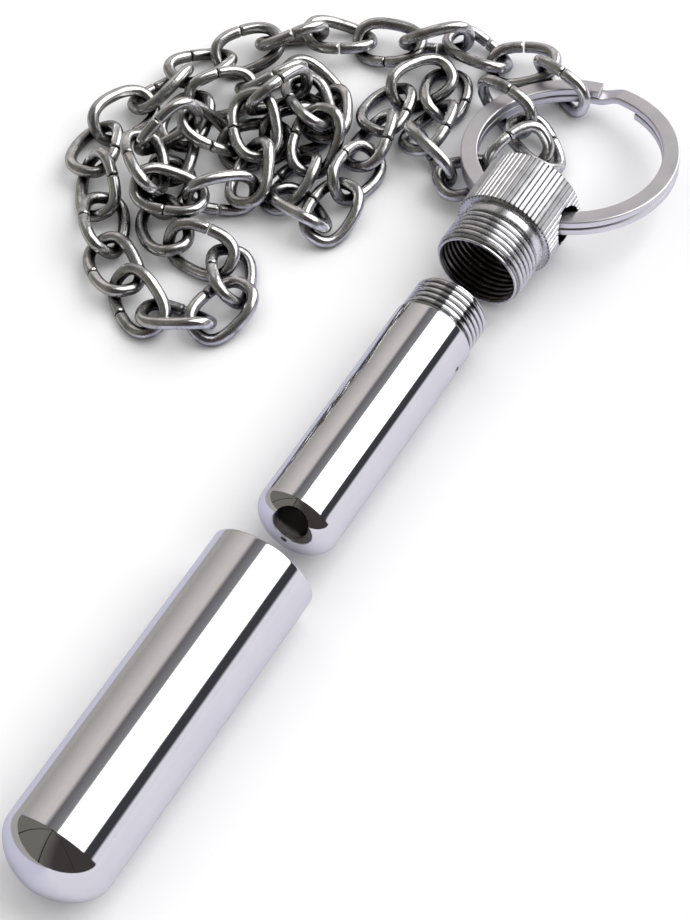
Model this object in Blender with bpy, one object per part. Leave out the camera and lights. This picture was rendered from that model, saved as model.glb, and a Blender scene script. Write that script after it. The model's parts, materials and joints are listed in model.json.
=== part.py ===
"""Nested screw-capsule vault, taken apart on a table, with its split ring and twisted chain.

Three turned steel pieces share one axis along Y: an outer sleeve, an inner capsule and a
screw cap. The cap's head is drilled across for a split ring, and both ends of a chain of
twisted links hang on that ring. Dimensions are in millimetres and make_object turns them
into metres. The table is the plane z = 0.
"""
import math

import bmesh
import bpy
import numpy as np
from mathutils import Matrix, Vector

MM = 0.001

# ---- the common axis of the turned pieces ----
AXIS_HEIGHT = 10.0
TUBE_SIDES = 24
CAP_SIDES = 32
BIG_HOLE_SIDES = 18
SMALL_HOLE_SIDES = 8
CROSS_HOLE_SIDES = 20

# ---- outer sleeve, tip at y = 0 ----
SLEEVE_RADIUS = 10.0
SLEEVE_LENGTH = 67.6
SLEEVE_DOME = 7.4
SLEEVE_DOME_POWER = 1.8
SLEEVE_BORE = 9.15
SLEEVE_THREAD_ROOT = 9.5
SLEEVE_END_WALL = 1.2
SLEEVE_INNER_DOME = 7.0
SLEEVE_PLAIN_BORE_FROM_MOUTH = 10.6
SLEEVE_THREAD_TURNS = 6
RIM_ROUND = 0.35

# ---- inner capsule ----
CAPSULE_TIP = 73.97
CAPSULE_RADIUS = 7.86
CAPSULE_LENGTH = 58.4
CAPSULE_DOME = 5.1
CAPSULE_DOME_POWER = 2.1
CAPSULE_BORE = 6.5
CAPSULE_THREAD_ROOT = 7.1
CAPSULE_THREAD_CREST = 7.55
CAPSULE_THREAD_TURNS = 4
CAPSULE_END_WALL = 1.1
CAPSULE_INNER_DOME = 4.8
BIG_HOLE_RADIUS = 3.25
BIG_HOLE_OFFSET = 4.65
BIG_HOLE_TURN = math.radians(80)
BIG_HOLE_TILT = math.radians(32)
BIG_HOLE_SETBACK = 1.2
BIG_HOLE_CUT = 5.4
VENT_RADIUS = 0.6
VENT_CUT = 6.0
SIDE_HOLE_RADIUS = 0.6
SIDE_HOLE_FROM_END = 12.0
SIDE_HOLE_CUT = 4.0

# ---- screw cap ----
CAP_MOUTH = 141.3
CAP_LENGTH = 22.5
CAP_SHOULDER = 10.2
CAP_HEAD_RADIUS = 10.0
CAP_KNURL_DEPTH = 0.27
CAP_FLUTES = 64
CAP_THREAD_CREST = 8.95
CAP_THREAD_ROOT = 8.4
CAP_THREAD_TURNS = 5
CAP_NECK_RADIUS = 8.6
CAP_GROOVE_RADIUS = 8.25
CAP_GROOVE_STARTS = 0.4
CAP_GROOVE_ENDS = 1.0
CAP_NECK_STARTS = 1.2
CAP_SOCKET_BORE = 7.7
CAP_SOCKET_ROOT = 8.0
CAP_SOCKET_TURNS = 7
CAP_SOCKET_DEPTH = 12.0
CROSS_HOLE_RADIUS = 3.95
CROSS_HOLE_FROM_END = 4.95
CROSS_HOLE_TILT = math.radians(7.4)
CROSS_HOLE_CUT = 24.0

# ---- threads, all right-handed ----
THREAD_PITCH = 1.2
THREAD_LEAD = 0.3
THREAD_CHAMFER = 0.1

# ---- split ring ----
RING_CENTRE = np.array([0.8, 176.8, 7.9])
RING_NORMAL = np.array([-0.129, 0.119, 0.984])
RING_INNER = 18.0
RING_OUTER = 21.3
RING_WIRE_THICKNESS = 1.6
RING_TURN_GAP = 0.1
RING_EDGE_BREAK = 0.25
RING_START = math.radians(72)
RING_CRANK_START = math.radians(99 - 360)
RING_CRANK_END = math.radians(85 - 360)
RING_END = math.radians(99 - 720)
RING_SEGMENTS = 60
RING_HANG_ANGLES = (math.radians(119), math.radians(154))

# ---- chain ----
LINK_COUNT = 54
WIRE_RADIUS = 1.175
LINK_HALF_LENGTH = 6.67
LINK_HALF_WIDTH = 4.255
LINK_SQUARENESS = 2.6
LINK_TWIST = -math.radians(32)
LINK_ROLL_STEP = math.radians(58)
LINK_FIRST_ROLL = math.radians(90)
LINK_LAST_ROLLS = tuple(math.radians(roll) for roll in (-60, 0, 75, 165, 90))
LINK_BUTT_GAP = 0.3
LINK_SEGMENTS = 14
OUTLINE_SAMPLES = 720
WIRE_SIDES = 5

# ---- how the chain settles on the table and on itself ----
EASE_ROUNDS = 420
EASE_FALL_ROUNDS = 250
EASE_FALL = 0.035
EASE_POINTS = 36
EASE_WIRE_SPACING = 2 * WIRE_RADIUS + 0.42
EASE_RING_SPACING = WIRE_RADIUS + 2.75
EASE_REACH = 16.7
EASE_PUSH = 0.35
EASE_TURN = 0.5
EASE_FLOOR_PUSH = 0.6
EASE_INERTIA = 23.8
EASE_CAP_SPACING = 1.4
TINY = 1e-6

# The chain's route over the table, from the ring round the heap and back to the ring.
CHAIN_ROUTE = (
    (-5.5, 193.8, 4.8), (-15, 196, 4.8), (-24, 193, 4.6), (-32, 196, 4.5), (-41, 189, 4.5),
    (-51, 185, 4.5), (-60, 181, 4.5), (-68, 174, 4.5), (-73, 165, 4.5), (-77, 156, 4.5),
    (-80, 147, 4.5), (-83, 137, 4.5), (-80, 127, 4.5), (-72, 121, 4.5), (-65, 113, 4.5),
    (-56, 106, 4.5), (-47, 104, 4.5), (-39, 110, 4.5), (-38, 119, 4.5), (-46, 124, 4.5),
    (-54, 120, 4.5), (-62, 126, 4.5), (-67, 134, 4.5), (-71, 143, 4.5), (-71, 152, 4.5),
    (-66, 158, 4.5), (-61, 166, 4.5), (-54, 171, 4.5), (-46, 167, 4.5), (-46, 158, 4.5),
    (-54, 153, 6), (-62, 148, 11), (-68, 143, 14), (-71, 134, 15), (-65, 127, 15), (-57, 130, 14),
    (-50, 136, 13), (-51, 145, 13.5), (-57, 152, 15), (-57, 161, 16), (-49, 162, 15),
    (-43, 155, 11), (-42, 147, 8), (-42, 139, 5), (-36, 138, 4.5), (-35, 147, 4.5),
    (-38, 155, 4.5), (-34, 162, 4.5), (-36, 171, 4.5), (-37, 180, 4.5), (-32.5, 186, 4.5),
    (-29, 179, 4.5), (-29, 170, 4), (-26, 165, 3.2), (-19.9, 163.9, 2.7), (-11.8, 168.9, 2.7),
    (-5, 176, 3.6), (-12.4, 183.5, 5), (-21.3, 187.5, 5.4),
)

POLISHED_STEEL = ((0.80, 0.80, 0.83), 0.08)
TURNED_STEEL = ((0.72, 0.72, 0.74), 0.24)
NICKEL = ((0.74, 0.72, 0.75), 0.2)
CHAIN_STEEL = ((0.56, 0.55, 0.54), 0.18)


# ---------------------------------------------------------------- scene and materials

def clear_scene():
    for item in list(bpy.data.objects):
        bpy.data.objects.remove(item, do_unlink=True)


def metal(name, colour, roughness):
    """A plain metallic surface."""
    material = bpy.data.materials.new(name)
    material.use_nodes = True
    shader = material.node_tree.nodes["Principled BSDF"]
    shader.inputs["Base Color"].default_value = (*colour, 1.0)
    shader.inputs["Metallic"].default_value = 1.0
    shader.inputs["Roughness"].default_value = roughness
    return material


def make_object(name, bm, finish):
    """Turns a mesh in millimetres into a smooth-shaded object in metres."""
    bmesh.ops.recalc_face_normals(bm, faces=bm.faces[:])
    bmesh.ops.scale(bm, vec=(MM, MM, MM), verts=bm.verts[:])
    mesh = bpy.data.meshes.new(name)
    bm.to_mesh(mesh)
    bm.free()
    mesh.materials.append(metal(name + "_metal", *finish))
    mesh.shade_smooth()
    item = bpy.data.objects.new(name, mesh)
    bpy.context.collection.objects.link(item)
    return item


def place(item, parent, location, rotation=Matrix.Identity(3)):
    """Puts an object at a point given in table millimetres, under a parent already placed."""
    world = Matrix.Translation(Vector(location) * MM) @ rotation.to_4x4()
    item.parent = parent
    if parent is None:
        item.matrix_basis = world
    else:
        item.matrix_basis = world_matrix(parent).inverted() @ world
    return item


def world_matrix(item):
    if item.parent is None:
        return item.matrix_basis.copy()
    return world_matrix(item.parent) @ item.matrix_basis


def empty(name, parent, location):
    item = bpy.data.objects.new(name, None)
    bpy.context.collection.objects.link(item)
    return place(item, parent, location)


# ---------------------------------------------------------------- turned pieces

def ring_of_points(bm, y, radius, sides):
    step = 2 * math.pi / sides
    points = []
    for index in range(sides):
        angle = step * index
        points.append(bm.verts.new((radius * math.cos(angle), y, radius * math.sin(angle))))
    return points


def knurled_ring(bm, y, radius):
    """Points round the knurled head, alternating between flute bottoms and crests."""
    points = ring_of_points(bm, y, radius, 2 * CAP_FLUTES)
    for point in points[::2]:
        shrink = 1 - CAP_KNURL_DEPTH / radius
        point.co.x *= shrink
        point.co.z *= shrink
    return points


def skin(bm, first, second):
    """Faces between two rings, where one may have a whole multiple of the other's points."""
    if len(first) > len(second):
        first, second = second, first
    ratio = len(second) // len(first)
    for index in range(len(first)):
        ahead = (index + 1) % len(first)
        many = [second[(index * ratio + k) % len(second)] for k in range(ratio + 1)]
        bm.faces.new([first[index], *many, first[ahead]])


def fan(bm, tip, ring):
    for index in range(len(ring)):
        bm.faces.new((tip, ring[index], ring[(index + 1) % len(ring)]))


def cut_thread(bm, start, y, heading, turns, first_radius, second_radius):
    """A right-handed V thread from a flat ring; returns the flat ring that ends it, and its y."""
    sides = len(start)
    rows = 2 * turns
    step = heading * 2 * math.pi / sides
    grid = []
    for row in range(rows + 1):
        radius = second_radius if row % 2 else first_radius
        line = []
        for column in range(sides):
            along = THREAD_LEAD + THREAD_PITCH * (row / 2 + column / sides)
            angle = step * column
            line.append(bm.verts.new((radius * math.cos(angle), y + heading * along,
                                      radius * math.sin(angle))))
        grid.append(line)
    length = 2 * THREAD_LEAD + THREAD_PITCH * (turns + (sides - 1) / sides)
    end_y = y + heading * length
    finish = ring_of_points(bm, end_y, first_radius, sides)
    opening = [start[(heading * column) % sides] for column in range(sides)]
    closing = [finish[(heading * column) % sides] for column in range(sides)]
    last = sides - 1
    for column in range(last):
        bm.faces.new((opening[column], opening[column + 1], grid[0][column + 1], grid[0][column]))
        bm.faces.new((grid[-1][column], grid[-1][column + 1], closing[column + 1], closing[column]))
        for row in range(rows):
            bm.faces.new((grid[row][column], grid[row][column + 1],
                          grid[row + 1][column + 1], grid[row + 1][column]))
    for row in range(rows - 2):
        bm.faces.new((grid[row][last], grid[row + 2][0], grid[row + 3][0], grid[row + 1][last]))
    open_path = (opening[last], opening[0], grid[0][0], grid[1][0], grid[2][0])
    for here, ahead in zip(open_path, open_path[1:]):
        bm.faces.new((grid[0][last], here, ahead))
    close_path = (closing[0], closing[last], grid[-1][last], grid[-2][last], grid[-3][last])
    for here, ahead in zip(close_path, close_path[1:]):
        bm.faces.new((grid[-1][0], here, ahead))
    return finish, end_y


def turned_mesh(sides, steps):
    """Skins a closed turned solid from one point on its axis to another.

    A step is ("tip", y), ("ring", y, radius), ("knurl", y, radius) or
    ("thread", heading, turns, first radius, second radius), which starts at the ring before it.
    """
    bm = bmesh.new()
    ring = None
    tip = None
    y = 0.0
    for kind, *values in steps:
        if kind == "thread":
            ring, y = cut_thread(bm, ring, y, *values)
            continue
        y = values[0]
        if kind == "tip":
            tip = bm.verts.new((0, y, 0))
            if ring is not None:
                fan(bm, tip, ring)
            continue
        fresh = knurled_ring(bm, *values) if kind == "knurl" else ring_of_points(bm, *values, sides)
        if ring is None:
            fan(bm, tip, fresh)
        else:
            skin(bm, ring, fresh)
        ring = fresh
    return bm


def dome_rings(tip_y, radius, depth, power, angles):
    """Rings of a domed end, from near its tip towards its full radius."""
    rings = []
    for angle in angles:
        out = math.sin(math.radians(angle)) ** (2 / power)
        along = 1 - math.cos(math.radians(angle)) ** (2 / power)
        rings.append(("ring", tip_y + depth * along, radius * out))
    return rings


OUTSIDE_DOME_ANGLES = (12, 26, 40, 54, 68, 80)
INSIDE_DOME_ANGLES = (80, 60, 38, 16)


def drill(item, location, direction, radius, sides, length):
    """Cuts a round hole along a direction, both in the object's own axes."""
    bm = bmesh.new()
    bmesh.ops.create_cone(bm, cap_ends=True, segments=sides, radius1=radius, radius2=radius,
                          depth=length)
    cutter = make_object("cutter", bm, TURNED_STEEL)
    turn = Vector((0, 0, 1)).rotation_difference(Vector(direction)).to_matrix().to_4x4()
    cutter.matrix_world = Matrix.Translation(Vector(location) * MM) @ turn
    modifier = item.modifiers.new("hole", "BOOLEAN")
    modifier.operation = "DIFFERENCE"
    modifier.solver = "EXACT"
    modifier.object = cutter
    graph = bpy.context.evaluated_depsgraph_get()
    drilled = bpy.data.meshes.new_from_object(item.evaluated_get(graph))
    item.modifiers.clear()
    item.data = drilled
    bpy.data.objects.remove(cutter, do_unlink=True)


def outer_sleeve():
    mouth = SLEEVE_LENGTH
    steps = [("tip", 0.0)]
    steps += dome_rings(0.0, SLEEVE_RADIUS, SLEEVE_DOME, SLEEVE_DOME_POWER, OUTSIDE_DOME_ANGLES)
    steps += [
        ("ring", SLEEVE_DOME, SLEEVE_RADIUS),
        ("ring", mouth - RIM_ROUND, SLEEVE_RADIUS),
        ("ring", mouth, SLEEVE_RADIUS - RIM_ROUND),
        ("ring", mouth, SLEEVE_THREAD_ROOT + THREAD_CHAMFER / 2),
        ("ring", mouth - THREAD_LEAD, SLEEVE_BORE + THREAD_CHAMFER),
        ("thread", -1, SLEEVE_THREAD_TURNS, SLEEVE_THREAD_ROOT, SLEEVE_BORE),
        ("ring", mouth - SLEEVE_PLAIN_BORE_FROM_MOUTH, SLEEVE_BORE),
    ]
    steps += dome_rings(SLEEVE_END_WALL, SLEEVE_BORE, SLEEVE_INNER_DOME, SLEEVE_DOME_POWER,
                        INSIDE_DOME_ANGLES)
    steps.append(("tip", SLEEVE_END_WALL))
    return make_object("outer_sleeve", turned_mesh(TUBE_SIDES, steps), POLISHED_STEEL)


def inner_capsule():
    end = CAPSULE_LENGTH
    thread_length = 2 * THREAD_LEAD + THREAD_PITCH * (CAPSULE_THREAD_TURNS + 1)
    shoulder = end - RIM_ROUND - thread_length - THREAD_LEAD
    steps = [("tip", 0.0)]
    steps += dome_rings(0.0, CAPSULE_RADIUS, CAPSULE_DOME, CAPSULE_DOME_POWER,
                        OUTSIDE_DOME_ANGLES)
    steps += [
        ("ring", CAPSULE_DOME, CAPSULE_RADIUS),
        ("ring", shoulder - RIM_ROUND, CAPSULE_RADIUS),
        ("ring", shoulder, CAPSULE_THREAD_CREST),
        ("ring", shoulder + THREAD_LEAD, CAPSULE_THREAD_ROOT),
        ("thread", 1, CAPSULE_THREAD_TURNS, CAPSULE_THREAD_ROOT, CAPSULE_THREAD_CREST),
        ("ring", end, CAPSULE_THREAD_ROOT - THREAD_CHAMFER),
        ("ring", end, CAPSULE_BORE + THREAD_CHAMFER),
        ("ring", end - RIM_ROUND, CAPSULE_BORE),
    ]
    steps += dome_rings(CAPSULE_END_WALL, CAPSULE_BORE, CAPSULE_INNER_DOME, CAPSULE_DOME_POWER,
                        INSIDE_DOME_ANGLES)
    steps.append(("tip", CAPSULE_END_WALL))
    item = make_object("inner_capsule", turned_mesh(TUBE_SIDES, steps), POLISHED_STEEL)
    drill_capsule(item)
    return item


def drill_capsule(item):
    """The large off-centre hole in the dome, the vent at its tip and the small side hole."""
    outward = Vector((math.cos(BIG_HOLE_TURN), 0, math.sin(BIG_HOLE_TURN)))
    direction = outward * math.sin(BIG_HOLE_TILT) - Vector((0, math.cos(BIG_HOLE_TILT), 0))
    centre = outward * BIG_HOLE_OFFSET + Vector((0, BIG_HOLE_SETBACK, 0))
    drill(item, centre, direction, BIG_HOLE_RADIUS, BIG_HOLE_SIDES, BIG_HOLE_CUT)
    vent = (0, CAPSULE_END_WALL / 2, 0)
    drill(item, vent, (0, 1, 0), VENT_RADIUS, SMALL_HOLE_SIDES, VENT_CUT)
    side = ((CAPSULE_RADIUS + CAPSULE_BORE) / 2, CAPSULE_LENGTH - SIDE_HOLE_FROM_END, 0)
    drill(item, side, (1, 0, 0), SIDE_HOLE_RADIUS, SMALL_HOLE_SIDES, SIDE_HOLE_CUT)


def screw_cap():
    """The cap's own origin is the middle of its cross hole."""
    end = CROSS_HOLE_FROM_END
    mouth = end - CAP_LENGTH
    shoulder = mouth + CAP_SHOULDER
    thread_length = 2 * THREAD_LEAD + THREAD_PITCH * (CAP_THREAD_TURNS + 1)
    thread_start = mouth + RIM_ROUND + thread_length
    socket_floor = mouth + CAP_SOCKET_DEPTH
    steps = [
        ("tip", end),
        ("ring", end, CAP_HEAD_RADIUS - 2 * RIM_ROUND),
        ("knurl", end - RIM_ROUND, CAP_HEAD_RADIUS),
        ("knurl", shoulder + RIM_ROUND, CAP_HEAD_RADIUS),
        ("ring", shoulder, CAP_HEAD_RADIUS - 2 * RIM_ROUND),
        ("ring", shoulder, CAP_NECK_RADIUS),
        ("ring", thread_start + CAP_NECK_STARTS, CAP_NECK_RADIUS),
        ("ring", thread_start + CAP_GROOVE_ENDS, CAP_GROOVE_RADIUS),
        ("ring", thread_start + CAP_GROOVE_STARTS, CAP_GROOVE_RADIUS),
        ("ring", thread_start, CAP_THREAD_ROOT),
        ("thread", -1, CAP_THREAD_TURNS, CAP_THREAD_ROOT, CAP_THREAD_CREST),
        ("ring", mouth, CAP_THREAD_ROOT - THREAD_CHAMFER),
        ("ring", mouth, CAP_SOCKET_ROOT),
        ("ring", mouth + THREAD_LEAD, CAP_SOCKET_BORE + THREAD_CHAMFER),
        ("thread", 1, CAP_SOCKET_TURNS, CAP_SOCKET_ROOT, CAP_SOCKET_BORE),
        ("ring", socket_floor - THREAD_LEAD, CAP_SOCKET_BORE),
        ("ring", socket_floor, CAP_SOCKET_BORE - THREAD_LEAD),
        ("tip", socket_floor),
    ]
    item = make_object("screw_cap", turned_mesh(CAP_SIDES, steps), TURNED_STEEL)
    direction = (math.cos(CROSS_HOLE_TILT), 0, math.sin(CROSS_HOLE_TILT))
    drill(item, (0, 0, 0), direction, CROSS_HOLE_RADIUS, CROSS_HOLE_SIDES, CROSS_HOLE_CUT)
    return item


# ---------------------------------------------------------------- split ring

def ring_axes():
    """Two directions in the ring's plane and its normal; angles run from the first of them."""
    normal = RING_NORMAL / np.linalg.norm(RING_NORMAL)
    across = np.array([1.0, 0.0, 0.0])
    across -= normal * (across @ normal)
    across /= np.linalg.norm(across)
    return across, np.cross(normal, across), normal


def ring_point(angle, radius=(RING_INNER + RING_OUTER) / 2):
    across, along, _ = ring_axes()
    return RING_CENTRE + radius * (math.cos(angle) * across + math.sin(angle) * along)


def smooth_rise(value):
    value = min(max(value, 0.0), 1.0)
    return value * value * (3 - 2 * value)


def ring_section():
    """Corners of the flat wire, radius and height, with broken edges."""
    half = RING_WIRE_THICKNESS / 2
    cut = RING_EDGE_BREAK
    inner, outer = RING_INNER, RING_OUTER
    return ((inner + cut, -half), (outer - cut, -half), (outer, cut - half), (outer, half - cut),
            (outer - cut, half), (inner + cut, half), (inner, half - cut), (inner, cut - half))


def split_ring(pivot):
    """Two turns of one flat wire, which steps up by its own thickness at the crank."""
    bm = bmesh.new()
    across, along, normal = ring_axes()
    centre = RING_CENTRE - pivot
    level = (RING_WIRE_THICKNESS + RING_TURN_GAP) / 2
    rows = []
    for step in range(RING_SEGMENTS + 1):
        angle = RING_START + (RING_END - RING_START) * step / RING_SEGMENTS
        rise = smooth_rise((RING_CRANK_START - angle) / (RING_CRANK_START - RING_CRANK_END))
        outward = math.cos(angle) * across + math.sin(angle) * along
        height = level * (2 * rise - 1)
        rows.append([bm.verts.new(centre + outward * radius + normal * (height + offset))
                     for radius, offset in ring_section()])
    for first, second in zip(rows, rows[1:]):
        skin(bm, first, second)
    bm.faces.new(rows[0])
    bm.faces.new(rows[-1])
    return make_object("split_ring", bm, NICKEL)


# ---------------------------------------------------------------- chain link

def link_outline(count):
    """A link's centre line, flat, as a superellipse with points at even distances."""
    angles = np.linspace(0, 2 * math.pi, OUTLINE_SAMPLES + 1)
    cosine, sine = np.cos(angles), np.sin(angles)
    power = 2 / LINK_SQUARENESS
    x = LINK_HALF_LENGTH * np.sign(cosine) * abs(cosine) ** power
    y = LINK_HALF_WIDTH * np.sign(sine) * abs(sine) ** power
    length = np.concatenate([[0], np.cumsum(np.hypot(np.diff(x), np.diff(y)))])
    at = np.linspace(0, length[-1], count, endpoint=False)
    return np.interp(at, length, x), np.interp(at, length, y), length[-1]


def twist_outline(x, y):
    """Winds a flat outline about its long axis, as a twisted curb link is."""
    turn = LINK_TWIST * x / (2 * LINK_HALF_LENGTH)
    return np.stack([x, y * np.cos(turn), y * np.sin(turn)], axis=1)


def link_loop(count):
    x, y, _ = link_outline(count)
    return twist_outline(x, y)


def link_wire():
    """Centre line of the bent wire, from one side of its butt gap round to the other."""
    fine_x, fine_y, length = link_outline(OUTLINE_SAMPLES)
    gap_middle = length / 4
    start = gap_middle + LINK_BUTT_GAP / 2
    along = start + (length - LINK_BUTT_GAP) * np.linspace(0, 1, LINK_SEGMENTS + 1)
    at = np.append(np.arange(OUTLINE_SAMPLES) * length / OUTLINE_SAMPLES, length)
    x = np.interp(along % length, at, np.append(fine_x, fine_x[0]))
    y = np.interp(along % length, at, np.append(fine_y, fine_y[0]))
    return twist_outline(x, y)


def chain_link(index):
    line = link_wire()
    bm = bmesh.new()
    rows = []
    side = np.array([0.0, 0.0, 1.0])
    for step, point in enumerate(line):
        ahead = line[min(step + 1, len(line) - 1)]
        behind = line[max(step - 1, 0)]
        tangent = (ahead - behind) / np.linalg.norm(ahead - behind)
        side = side - tangent * (side @ tangent)
        side /= np.linalg.norm(side)
        up = np.cross(tangent, side)
        row = []
        for corner in range(WIRE_SIDES):
            angle = 2 * math.pi * corner / WIRE_SIDES
            offset = math.cos(angle) * side + math.sin(angle) * up
            row.append(bm.verts.new(point + WIRE_RADIUS * offset))
        rows.append(row)
    for first, second in zip(rows, rows[1:]):
        skin(bm, first, second)
    bm.faces.new(rows[0])
    bm.faces.new(rows[-1])
    return make_object(f"chain_link_{index + 1:02d}", bm, CHAIN_STEEL)


# ---------------------------------------------------------------- the chain's layout

def smooth_route(points, steps=24):
    """A curve through every point of the route."""
    points = np.array(points, dtype=float)
    line = np.concatenate([[2 * points[0] - points[1]], points, [2 * points[-1] - points[-2]]])
    part = np.linspace(0, 1, steps, endpoint=False)[:, None]
    pieces = []
    for before, here, ahead, after in zip(line, line[1:], line[2:], line[3:]):
        pieces.append(0.5 * (2 * here + (ahead - before) * part
                             + (2 * before - 5 * here + 4 * ahead - after) * part ** 2
                             + (3 * here - before - 3 * ahead + after) * part ** 3))
    pieces.append(points[-1:])
    return np.concatenate(pieces)


def even_joints(line, count):
    """Joints at even distances along a line, one more than there are links."""
    spans = np.linalg.norm(np.diff(line, axis=0), axis=1)
    along = np.concatenate([[0], np.cumsum(spans)])
    at = np.linspace(0, along[-1], count + 1)
    return np.stack([np.interp(at, along, line[:, axis]) for axis in range(3)], axis=1)


def link_rolls():
    rolls = [LINK_FIRST_ROLL + LINK_ROLL_STEP * index for index in range(LINK_COUNT)]
    rolls[-len(LINK_LAST_ROLLS):] = LINK_LAST_ROLLS
    return rolls


def link_axes(joints, rolls):
    """Centres and axes (rows: long, wide, thin) of links strung between the joints."""
    centres = (joints[1:] + joints[:-1]) / 2
    axes = []
    for ahead, roll in zip(joints[1:] - joints[:-1], rolls):
        long = ahead / np.linalg.norm(ahead)
        side = np.cross([0, 0, 1.0], long)
        side /= np.linalg.norm(side)
        wide = math.cos(roll) * side + math.sin(roll) * np.cross(long, side)
        axes.append(np.stack([long, wide, np.cross(long, wide)]))
    return centres, np.array(axes)


def small_turn(vector):
    """The rotation matrix of a rotation vector."""
    if np.linalg.norm(vector) < TINY:
        return np.eye(3)
    return np.array(Matrix.Rotation(np.linalg.norm(vector), 3, Vector(vector)))


class Nudges:
    """The shifts and turns that each link collects in one round of easing."""

    def __init__(self, centres):
        self.centres = centres
        self.shift = np.zeros_like(centres)
        self.turn = np.zeros_like(centres)

    def push(self, link, point, move, shift_share, turn_share):
        self.shift[link] += move * shift_share
        lever = np.cross(point - self.centres[link], move)
        self.turn[link] += lever * turn_share / EASE_INERTIA


def part_links(lines, centres, nudges):
    """Pushes apart every two links whose wires are nearer than the spacing."""
    count = len(lines)
    for one in range(count):
        for other in range(one + 1, count):
            if np.linalg.norm(centres[one] - centres[other]) > EASE_REACH:
                continue
            spans = np.linalg.norm(lines[one][:, None] - lines[other][None], axis=-1)
            near = np.unravel_index(np.argmin(spans), spans.shape)
            short = EASE_WIRE_SPACING - spans[near]
            if short <= 0:
                continue
            here, there = lines[one][near[0]], lines[other][near[1]]
            move = (here - there) / max(spans[near], TINY) * short
            nudges.push(one, here, move, EASE_PUSH, EASE_TURN)
            nudges.push(other, there, -move, EASE_PUSH, EASE_TURN)


def lift_off_table(lines, nudges):
    for link, line in enumerate(lines):
        lowest = line[np.argmin(line[:, 2])]
        sunk = WIRE_RADIUS - lowest[2]
        if sunk > 0:
            move = np.array([0, 0, sunk])
            nudges.push(link, lowest, move, EASE_FLOOR_PUSH, EASE_FLOOR_PUSH)


def away_from_band(points):
    """Vectors to points from the nearest point of the middle of the ring's band."""
    normal = ring_axes()[2]
    height = np.outer((points - RING_CENTRE) @ normal, normal)
    flat = points - RING_CENTRE - height
    radius = np.linalg.norm(flat, axis=1)[:, None]
    return height + flat * (1 - (RING_INNER + RING_OUTER) / 2 / radius)


def clear_of_ring(lines, nudges):
    """Keeps links off the ring's band and off the end face of the cap's head."""
    cap_end = CAP_MOUTH + CAP_LENGTH + EASE_CAP_SPACING
    for link, line in enumerate(lines):
        away = away_from_band(line)
        spans = np.linalg.norm(away, axis=1)
        near = np.argmin(spans)
        short = EASE_RING_SPACING - spans[near]
        if short > 0:
            move = away[near] / max(spans[near], TINY) * short
            nudges.push(link, line[near], move, EASE_PUSH, EASE_TURN)
        from_axis = np.hypot(line[:, 0], line[:, 2] - AXIS_HEIGHT)
        near = np.argmin(from_axis)
        inside = line[near, 1] < cap_end and from_axis[near] < CAP_HEAD_RADIUS + EASE_CAP_SPACING
        if inside:
            nudges.shift[link, 1] += (cap_end - line[near, 1]) / 2


def ease(centres, axes):
    """Lets the strung links sink and part until their wires lie on and beside each other."""
    loop = link_loop(EASE_POINTS)
    for step in range(EASE_ROUNDS):
        if step < EASE_FALL_ROUNDS:
            centres[:, 2] -= EASE_FALL
        lines = np.einsum("kd,nde->nke", loop, axes) + centres[:, None]
        nudges = Nudges(centres)
        part_links(lines, centres, nudges)
        lift_off_table(lines, nudges)
        clear_of_ring(lines, nudges)
        centres = centres + nudges.shift
        axes = np.array([frame @ small_turn(turn).T for frame, turn in zip(axes, nudges.turn)])
    return centres, axes


def chain(parent):
    joints = even_joints(smooth_route(CHAIN_ROUTE), LINK_COUNT)
    centres, axes = ease(*link_axes(joints, link_rolls()))
    for index in range(LINK_COUNT):
        rotation = Matrix([list(row) for row in axes[index].T])
        place(chain_link(index), parent, centres[index], rotation)


# ---------------------------------------------------------------- assembly

def rest_on_origin(root):
    """Moves everything so that the middle of the base of the bounding box is the origin."""
    corners = []
    for item in bpy.data.objects:
        if item.type == "MESH":
            matrix = world_matrix(item)
            corners += [matrix @ vertex.co for vertex in item.data.vertices]
    corners = np.array(corners)
    low, high = corners.min(axis=0), corners.max(axis=0)
    root.location = (-(low[0] + high[0]) / 2, -(low[1] + high[1]) / 2, -low[2])


def build():
    clear_scene()
    root = empty("vault", None, (0, 0, 0))
    first_hang, second_hang = (ring_point(angle) for angle in RING_HANG_ANGLES)
    pivot = (first_hang + second_hang) / 2
    ring_pivot = empty("ring_pivot", root, pivot)
    ring = place(split_ring(pivot), ring_pivot, pivot)
    cross_hole = (0, CAP_MOUTH + CAP_LENGTH - CROSS_HOLE_FROM_END, AXIS_HEIGHT)
    cap = place(screw_cap(), ring, cross_hole)
    capsule = place(inner_capsule(), cap, (0, CAPSULE_TIP, AXIS_HEIGHT))
    place(outer_sleeve(), capsule, (0, 0, AXIS_HEIGHT))
    chain(root)
    rest_on_origin(root)


build()
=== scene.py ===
"""Looks for the nested screw-capsule vault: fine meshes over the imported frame, metals, light."""

import json
import math

import bmesh
import bpy
import numpy as np
from mathutils import Matrix, Vector


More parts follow.
